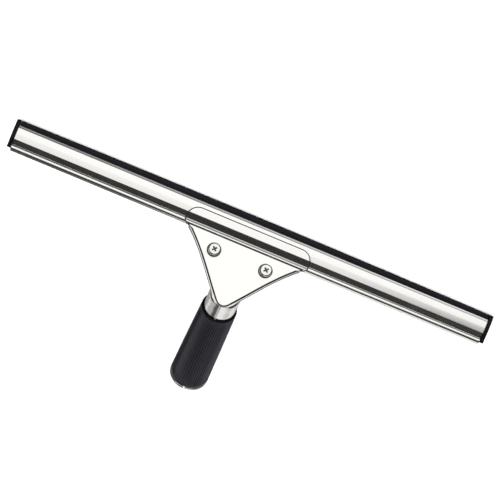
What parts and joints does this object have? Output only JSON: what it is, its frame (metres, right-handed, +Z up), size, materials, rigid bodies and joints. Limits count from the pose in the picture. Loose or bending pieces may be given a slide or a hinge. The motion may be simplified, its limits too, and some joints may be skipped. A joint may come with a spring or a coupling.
{
  "type": "window squeegee",
  "caption": "T-shaped window cleaning squeegee: steel channel with a rubber blade, clamped by a screwed plate on a bent tube handle with a ribbed rubber grip.",
  "frame": {"origin": "centre of the footprint, on the surface that the squeegee lies on; the hem of the handle and the rear corners of both end caps touch it", "axes": "+X along the channel, +Y from the handle's open end towards the rubber edge, +Z up, with the clamp plate and its screws on the upper side"},
  "size_m": [0.4, 0.1662, 0.0554],
  "materials": {
    "channel_steel": "polished, fine lengthwise grain",
    "handle_steel": "polished, slightly satin",
    "screw_steel": "bright zinc-plated",
    "blade_rubber": "smooth matt black",
    "grip_rubber": "matt charcoal, fine lengthwise ribs",
    "cap_plastic": "moulded black"
  },
  "bodies": {
    "handle": {"handle_body": "handle_steel", "grip_sleeve": "grip_rubber", "clinch_nut_left": "screw_steel", "clinch_nut_right": "screw_steel"},
    "clamp": {"clamp_plate": "handle_steel", "plain_washer_left": "screw_steel", "plain_washer_right": "screw_steel", "lock_washer_left": "screw_steel", "lock_washer_right": "screw_steel"},
    "screw_left": {"clamp_screw_left": "screw_steel"},
    "screw_right": {"clamp_screw_right": "screw_steel"},
    "blade": {"channel": "channel_steel", "wiper_rubber": "blade_rubber", "rubber_clip_left": "screw_steel", "rubber_clip_right": "screw_steel"},
    "cap_left": {"end_cap_left": "cap_plastic"},
    "cap_right": {"end_cap_right": "cap_plastic"}
  },
  "joints": [
    {"name": "clamp_lift", "type": "slide", "parent": "handle", "child": "clamp", "axis": [0, 0.7078, 0.7064], "range_m": [0, 0.002]},
    {"name": "screw_left_turn", "type": "hinge", "parent": "clamp", "child": "screw_left", "pos_m": [-0.0215, 0.05646, 0.02828], "axis": [0, 0.7078, 0.7064], "range_deg": [0, 900]},
    {"name": "screw_right_turn", "type": "hinge", "parent": "clamp", "child": "screw_right", "pos_m": [0.0215, 0.05646, 0.02828], "axis": [0, 0.7078, 0.7064], "range_deg": [0, 900]},
    {"name": "channel_slide", "type": "slide", "parent": "handle", "child": "blade", "axis": [1, 0, 0], "range_m": [-0.14, 0.14]},
    {"name": "cap_left_pull", "type": "slide", "parent": "blade", "child": "cap_left", "axis": [-1, 0, 0], "range_m": [0, 0.013]},
    {"name": "cap_right_pull", "type": "slide", "parent": "blade", "child": "cap_right", "axis": [1, 0, 0], "range_m": [0, 0.013]}
  ],
  "couplings": [
    {"joint": "screw_left_turn", "follows": "clamp_lift", "rad_per_m": 7854},
    {"joint": "screw_right_turn", "follows": "clamp_lift", "rad_per_m": 7854}
  ]
}
